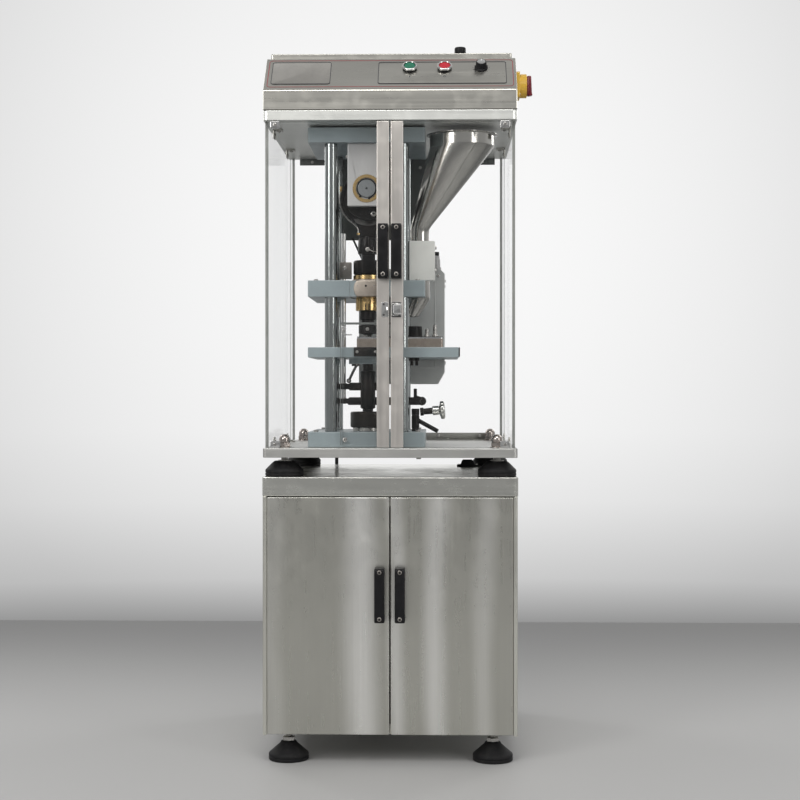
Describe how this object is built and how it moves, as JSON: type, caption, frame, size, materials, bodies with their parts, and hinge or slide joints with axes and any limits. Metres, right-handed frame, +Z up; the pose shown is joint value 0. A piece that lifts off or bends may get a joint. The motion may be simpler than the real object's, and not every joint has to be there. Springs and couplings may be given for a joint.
{
  "type": "single-punch tablet press",
  "caption": "Single-punch tablet press in a clear enclosure with hinged doors and a sloped control head, on a stainless two-door cabinet.",
  "frame": {"origin": "on the floor under the middle of the press's box, measured without the mains lead", "axes": "+Z up, the doors and controls face -Y, +X is to the right seen from the front"},
  "size_m": [0.5254, 0.6673, 1.399],
  "materials": {
    "brushed_stainless": "fine vertical brushing on the doors, lengthwise on the head, soft cloudy highlights",
    "polished_steel": "polished, mirror-like on the hopper, ground on the columns",
    "dark_steel": "blackened and oiled",
    "anodised_aluminium": "satin anodised",
    "platen_paint": "blue-grey semi-gloss enamel",
    "light_grey_paint": "light grey semi-gloss enamel",
    "brass": "turned brass",
    "bronze": "worn brown bronze",
    "chrome": "bright chrome",
    "black_plastic": "moulded, fine grain",
    "black_rubber": "moulded rubber",
    "cord_sheath": "smooth black sheath",
    "clear_acrylic": "clear, grey at the edges",
    "green_plastic": "glossy green",
    "red_plastic": "glossy red",
    "yellow_plastic": "glossy yellow",
    "dark_red_plastic": "glossy dark red"
  },
  "bodies": {
    "frame": {"cabinet_shell": "brushed_stainless", "worktop": "brushed_stainless", "cabinet_foot_front_left": "black_rubber", "cabinet_foot_front_right": "black_rubber", "cabinet_foot_rear_left": "black_rubber", "cabinet_foot_rear_right": "black_rubber", "machine_foot_front_left": "black_rubber", "machine_foot_front_right": "black_rubber", "machine_foot_rear_left": "black_rubber", "machine_foot_rear_right": "black_rubber", "base_plate": "anodised_aluminium", "panel_left": "clear_acrylic", "panel_right": "clear_acrylic", "panel_back": "clear_acrylic", "head_base": "brushed_stainless", "control_housing": "brushed_stainless", "switch_plate": "yellow_plastic", "lower_platen": "platen_paint", "die_table": "platen_paint", "mid_platen": "platen_paint", "top_platen": "platen_paint", "column_front_left": "polished_steel", "column_rear_left": "polished_steel", "column_front_right": "polished_steel", "column_rear_right": "polished_steel", "bearing_block": "light_grey_paint", "punch_guide": "brass", "motor_housing": "light_grey_paint", "drive_belt": "black_rubber", "hopper": "polished_steel", "cord_gland": "black_plastic", "mains_cord": "cord_sheath", "cord_coil": "cord_sheath", "mains_plug": "black_plastic"},
    "cabinet_left_door": {"cabinet_door_left": "brushed_stainless", "cabinet_handle_left": "black_plastic"},
    "cabinet_right_door": {"cabinet_door_right": "brushed_stainless", "cabinet_handle_right": "black_plastic"},
    "left_door": {"door_pane_left": "clear_acrylic", "door_stile_left": "anodised_aluminium", "door_handle_left": "black_plastic"},
    "right_door": {"door_pane_right": "clear_acrylic", "door_stile_right": "anodised_aluminium", "door_handle_right": "black_plastic"},
    "latch": {"latch_lever": "chrome"},
    "start": {"start_button": "green_plastic"},
    "stop": {"stop_button": "red_plastic"},
    "speed": {"speed_knob": "black_plastic"},
    "cap": {"top_cap": "black_plastic"},
    "main_switch": {"switch_handle": "dark_red_plastic"},
    "crank": {"crankshaft": "dark_steel"},
    "motor_shaft": {"motor_pulley": "polished_steel"},
    "ram": {"connecting_rod": "dark_steel", "upper_punch": "dark_steel"},
    "stroke_adjuster": {"stroke_nut": "dark_steel"},
    "shoe": {"feed_shoe": "bronze"},
    "ejector_group": {"ejector": "dark_steel"},
    "fill_adjuster": {"adjusting_ring": "dark_steel"},
    "star_screw": {"star_knob": "polished_steel"},
    "clamp_lever": {"lock_lever": "black_plastic"}
  },
  "joints": [
    {"name": "cabinet_left_hinge", "type": "hinge", "parent": "frame", "child": "cabinet_left_door", "pos_m": [-0.25325, -0.24485, 0.2855], "axis": [0, 0, -1], "range_deg": [0, 110]},
    {"name": "cabinet_right_hinge", "type": "hinge", "parent": "frame", "child": "cabinet_right_door", "pos_m": [0.22075, -0.24485, 0.2855], "axis": [0, 0, 1], "range_deg": [0, 110]},
    {"name": "left_door_hinge", "type": "hinge", "parent": "frame", "child": "left_door", "pos_m": [-0.25325, -0.23935, 0.9228], "axis": [0, 0, -1], "range_deg": [0, 110]},
    {"name": "right_door_hinge", "type": "hinge", "parent": "frame", "child": "right_door", "pos_m": [0.22075, -0.23935, 0.9228], "axis": [0, 0, 1], "range_deg": [0, 110]},
    {"name": "latch_pivot", "type": "hinge", "parent": "right_door", "child": "latch", "pos_m": [0.00325, -0.25085, 0.8745], "axis": [0, 0, 1], "range_deg": [0, 100]},
    {"name": "start_push", "type": "slide", "parent": "frame", "child": "start", "axis": [0, 0.7071, -0.7071], "range_m": [0, 0.0035], "stiffness_N_per_m": 400, "springref_m": -0.002},
    {"name": "stop_push", "type": "slide", "parent": "frame", "child": "stop", "axis": [0, 0.7071, -0.7071], "range_m": [0, 0.0035], "stiffness_N_per_m": 400, "springref_m": -0.002},
    {"name": "speed_turn", "type": "hinge", "parent": "frame", "child": "speed", "pos_m": [0.15975, -0.19685, 1.3455], "axis": [0, -0.7071, 0.7071], "range_deg": [-135, 135]},
    {"name": "cap_turn", "type": "hinge", "parent": "frame", "child": "cap", "pos_m": [0.11975, -0.13635, 1.383], "axis": [0, 0, 1], "range_deg": [0, 90]},
    {"name": "main_switch_turn", "type": "hinge", "parent": "frame", "child": "main_switch", "pos_m": [0.25075, -0.13635, 1.322], "axis": [1, 0, 0], "range_deg": [0, 90]},
    {"name": "crank_turn", "type": "hinge", "parent": "frame", "child": "crank", "pos_m": [-0.06425, -0.12135, 1.116], "axis": [0, 1, 0], "continuous": true},
    {"name": "motor_turn", "type": "hinge", "parent": "frame", "child": "motor_shaft", "pos_m": [0.00975, 0.07165, 0.85], "axis": [0, 1, 0], "continuous": true},
    {"name": "ram_slide", "type": "slide", "parent": "frame", "child": "ram", "axis": [0, 0, 1], "range_m": [0, 0.03]},
    {"name": "stroke_nut_turn", "type": "hinge", "parent": "ram", "child": "stroke_adjuster", "pos_m": [-0.06425, -0.12135, 0.964], "axis": [0, 0, 1], "continuous": true},
    {"name": "shoe_slide", "type": "slide", "parent": "frame", "child": "shoe", "axis": [-1, 0, 0], "range_m": [0, 0.018]},
    {"name": "ejector_slide", "type": "slide", "parent": "frame", "child": "ejector_group", "axis": [0, 0, 1], "range_m": [0, 0.012]},
    {"name": "fill_ring_turn", "type": "hinge", "parent": "frame", "child": "fill_adjuster", "pos_m": [-0.06425, -0.12135, 0.66], "axis": [0, 0, 1], "continuous": true},
    {"name": "star_turn", "type": "hinge", "parent": "frame", "child": "star_screw", "pos_m": [0.04025, -0.12135, 0.6765], "axis": [0.9962, 0, 0.0872], "continuous": true},
    {"name": "clamp_lever_turn", "type": "hinge", "parent": "frame", "child": "clamp_lever", "pos_m": [0.03075, -0.12135, 0.66], "axis": [0, 0, -1], "range_deg": [0, 35]}
  ],
  "couplings": [
    {"joint": "motor_turn", "follows": "crank_turn", "ratio": 2.9545}
  ]
}
